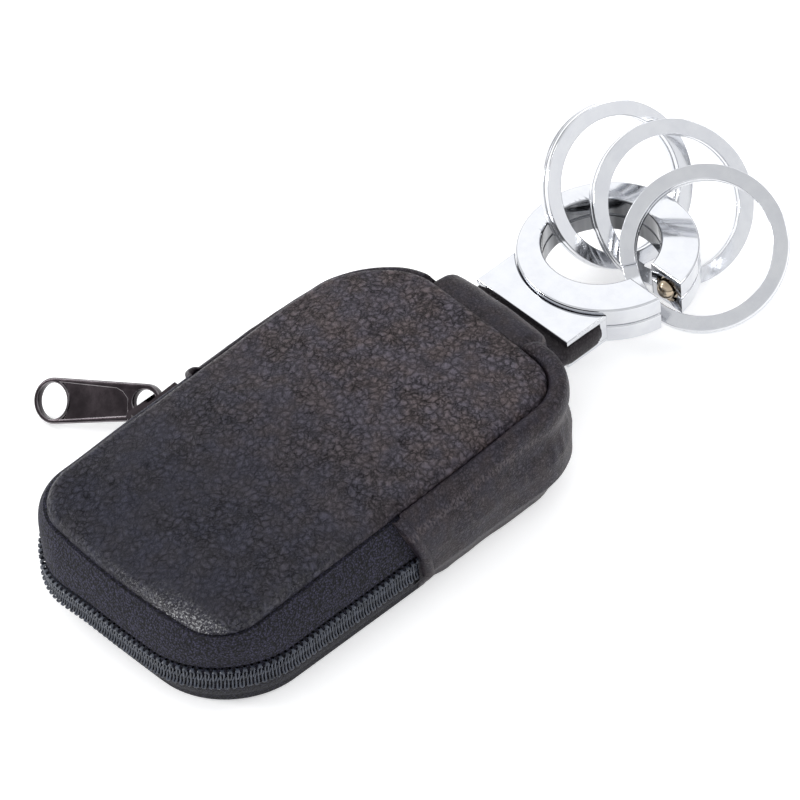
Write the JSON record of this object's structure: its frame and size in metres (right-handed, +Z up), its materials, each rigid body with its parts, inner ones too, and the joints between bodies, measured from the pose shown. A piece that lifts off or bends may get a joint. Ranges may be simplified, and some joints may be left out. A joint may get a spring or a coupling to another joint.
{
  "type": "key wallet",
  "caption": "Padded black leather zip key case with a pull tab, a strap and a chrome C-ring that holds flat split key rings by a sprung gate.",
  "frame": {"origin": "on the resting plane under the case, on its centre line, where the gusset ends and the zip begins", "axes": "+X to the case's right side, +Y from the case to the key rings, +Z up out of the top panel"},
  "size_m": [0.0706, 0.125, 0.0229],
  "materials": {
    "leather": "pebbled, satin black",
    "lining": "matt woven lining",
    "foam": "soft foam",
    "board": "plain stiffening board",
    "tape": "woven, matt",
    "chain": "satin nylon",
    "gunmetal": "dark plated, glossy",
    "chrome": "bright polished",
    "nickel": "bright plated",
    "bronze": "polished",
    "steel": "satin"
  },
  "bodies": {
    "case": {"bottom_cover": "leather", "bottom_board": "board", "bottom_lining": "lining", "gusset": "leather", "zip_tape_lower": "tape", "zip_coil_lower": "chain", "top_panel_rear": "leather", "top_padding_rear": "foam", "top_lining_rear": "lining", "strap_loop": "leather"},
    "flap": {"top_panel_front": "leather", "top_padding_front": "foam", "top_lining_front": "lining", "zip_tape_upper": "tape", "zip_coil_upper": "chain"},
    "slider": {"slider_body": "gunmetal", "slider_bail": "gunmetal"},
    "pull_tab": {"pull_tab": "gunmetal"},
    "fitting": {"strap_tongue": "leather", "bracket": "chrome", "clamp_post_left": "steel", "clamp_post_right": "steel", "c_ring_upper": "chrome", "c_ring_lower": "chrome", "ring_pin_left": "steel", "ring_pin_rear": "steel", "plunger_spring": "steel"},
    "plunger": {"ball_plunger": "bronze"},
    "key_ring_1": {"key_ring_1": "nickel"},
    "key_ring_2": {"key_ring_2": "nickel"},
    "key_ring_3": {"key_ring_3": "nickel"}
  },
  "joints": [
    {"name": "flap_fold", "type": "hinge", "parent": "case", "child": "flap", "pos_m": [0, 0.0006, 0.0201], "axis": [-1, 0, 0], "range_deg": [0, 35], "deforming": ["zip_tape_upper", "zip_coil_upper"]},
    {"name": "zip_slide", "type": "slide", "parent": "case", "child": "slider", "axis": [0, -1, 0], "range_m": [0, 0.01], "deforming": ["zip_coil_lower", "zip_coil_upper"]},
    {"name": "tab_swing", "type": "hinge", "parent": "slider", "child": "pull_tab", "pos_m": [-0.02815, -0.0042, 0.0074], "axis": [0, 0, 1], "range_deg": [-10, 10]},
    {"name": "strap_bend", "type": "hinge", "parent": "case", "child": "fitting", "pos_m": [0, 0.0414, 0.00795], "axis": [1, 0, 0], "range_deg": [-6, 42]},
    {"name": "plunger_press", "type": "slide", "parent": "fitting", "child": "plunger", "axis": [0, 1, 0], "range_m": [0, 0.0005], "stiffness_N_per_m": 400, "springref_m": -0.001, "deforming": ["plunger_spring"]},
    {"name": "ring_1_swing", "type": "hinge", "parent": "fitting", "child": "key_ring_1", "pos_m": [-0.0014, 0.0615, 0.0082], "axis": [-0.8378, 0.0898, 0.5386], "range_deg": [0, 60]},
    {"name": "ring_2_swing", "type": "hinge", "parent": "fitting", "child": "key_ring_2", "pos_m": [-0.0067, 0.0711, 0.0082], "axis": [-0.8511, 0.3004, -0.4306], "range_deg": [0, 40]},
    {"name": "ring_3_swing", "type": "hinge", "parent": "fitting", "child": "key_ring_3", "pos_m": [0.0089, 0.0575, 0.0082], "axis": [-0.0698, 0.9974, 0.0199], "range_deg": [0, 60]}
  ]
}
